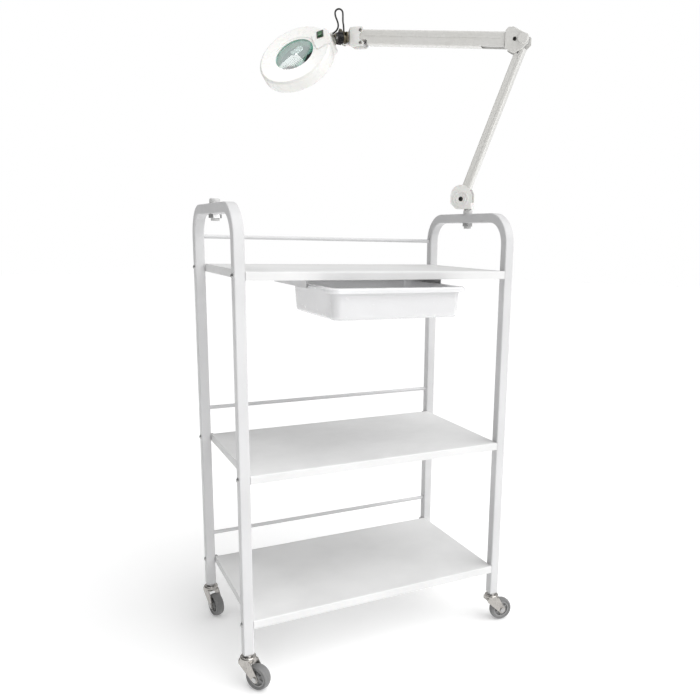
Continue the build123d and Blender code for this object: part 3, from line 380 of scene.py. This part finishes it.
# ---------------------------------------------------------------- small pieces on the lamp
def turned(name, profile, centre, axis, finish, body, segments=40):
    """A turned piece: its (along, radius) profile spun round an axis through a point."""
    mesh = bpy.data.meshes.new(name)
    b = bmesh.new()
    aim = Vector(axis).to_track_quat("Z", "X").to_matrix()
    rows = []
    for along, radius in profile:
        row = []
        for step in range(segments):
            a = 2 * math.pi * step / segments
            spot = Vector((radius * math.cos(a), radius * math.sin(a), along))
            row.append(b.verts.new(Vector(centre) + aim @ spot))
        rows.append(row)
    for low_row, high_row in zip(rows, rows[1:]):
        for step in range(segments):
            after = (step + 1) % segments
            b.faces.new((low_row[step], low_row[after], high_row[after], high_row[step]))
    b.faces.new(rows[0][::-1])
    b.faces.new(rows[-1])
    b.to_mesh(mesh)
    b.free()
    for face in mesh.polygons:
        face.use_smooth = len(face.vertices) == 4
    mesh.materials.append(M[finish])
    piece = bpy.data.objects.new(name, mesh)
    bpy.context.collection.objects.link(piece)
    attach(piece, body)


# The clamp stud's rounded end shows in the middle of the knob.
STUD_ROOT = (0.0507, 0.198, 1.276)
STUD_DOME = [(0, 0.0029), (0.0048, 0.0029), (0.0056, 0.0026), (0.0061, 0.0018), (0.0063, 0.0007)]
turned("stud_end", STUD_DOME, STUD_ROOT, (-1, 0, 0), "zinc_steel", "head_swivel")


# ---------------------------------------------------------------- floor and light
FLOOR_R = 14
KEY_POWER = 1.95
KEY_SPREAD = math.radians(60)
FRONT_SIDE = 0.9
FRONT_POWER = 9
TOP_SIDE = 0.6
TOP_POWER = 7


def studio_floor():
    mesh = bpy.data.meshes.new("floor")
    b = bmesh.new()
    bmesh.ops.create_circle(b, cap_ends=True, radius=FLOOR_R, segments=96)
    b.to_mesh(mesh)
    b.free()
    s = Shader("floor", (0.86, 0.86, 0.86), 0.8, Emission_Color=(1, 1, 1, 1), Emission_Strength=0.22)
    s.tint(s.noise(0.6, 2), (0.85, 0.85, 0.85), 0.5)
    s.bump(s.noise(60, 3), 0.0002, 0.1)
    mesh.materials.append(s.material)
    floor = bpy.data.objects.new("floor", mesh)
    bpy.context.collection.objects.link(floor)


def aimed(name, kind, place, target):
    data = bpy.data.lights.new(name, kind)
    lamp = bpy.data.objects.new(name, data)
    lamp.location = place
    aim = Vector(target) - Vector(place)
    lamp.rotation_euler = aim.to_track_quat("-Z", "Y").to_euler()
    bpy.context.collection.objects.link(lamp)
    return data


def softbox(name, place, target, side, power):
    panel = aimed(name, "AREA", place, target)
    panel.shape = "RECTANGLE"
    panel.size, panel.size_y = side, side
    panel.energy = power


def graded(tree, source, start, end, low, high):
    """Maps a value's range start..end to low..high."""
    node = tree.nodes.new("ShaderNodeMapRange")
    for socket, value in (("From Min", start), ("From Max", end), ("To Min", low), ("To Max", high)):
        node.inputs[socket].default_value = value
    tree.links.new(source, node.inputs["Value"])
    return node.outputs["Result"]


def studio_light():
    """A broad key from the front right, two softboxes, and a sky dimmer low down and to the left."""
    key = aimed("key", "SUN", (1.3, -1.9, 3.1), (0, 0, 0.4))
    key.energy = KEY_POWER
    key.angle = KEY_SPREAD
    softbox("front_softbox", (0.25, -2.4, 1.0), (0, 0, 0.72), FRONT_SIDE, FRONT_POWER)
    softbox("top_softbox", (-0.95, 0.55, 2.45), (-0.02, 0.27, 1.24), TOP_SIDE, TOP_POWER)
    world = bpy.data.worlds.new("studio")
    world.use_nodes = True
    tree = world.node_tree
    sky = tree.nodes["Background"]
    sky.inputs["Color"].default_value = (1, 1, 1, 1)
    coords = tree.nodes.new("ShaderNodeTexCoord")
    parts = tree.nodes.new("ShaderNodeSeparateXYZ")
    tree.links.new(coords.outputs["Generated"], parts.inputs["Vector"])
    rise = graded(tree, parts.outputs["Z"], -0.2, 0.8, 0.42, 0.62)
    side = graded(tree, parts.outputs["X"], -0.9, 0.3, 0.3, 1.1)
    level = tree.nodes.new("ShaderNodeMath")
    level.operation = "MULTIPLY"
    tree.links.new(rise, level.inputs[0])
    tree.links.new(side, level.inputs[1])
    seen = tree.nodes.new("ShaderNodeLightPath")
    pick = tree.nodes.new("ShaderNodeMix")
    tree.links.new(seen.outputs["Is Camera Ray"], pick.inputs["Factor"])
    tree.links.new(level.outputs["Value"], pick.inputs["A"])
    pick.inputs["B"].default_value = 1.0
    tree.links.new(pick.outputs["Result"], sky.inputs["Strength"])
    bpy.context.scene.world = world
    bpy.context.scene.view_settings.view_transform = "Standard"


studio_floor()
studio_light()
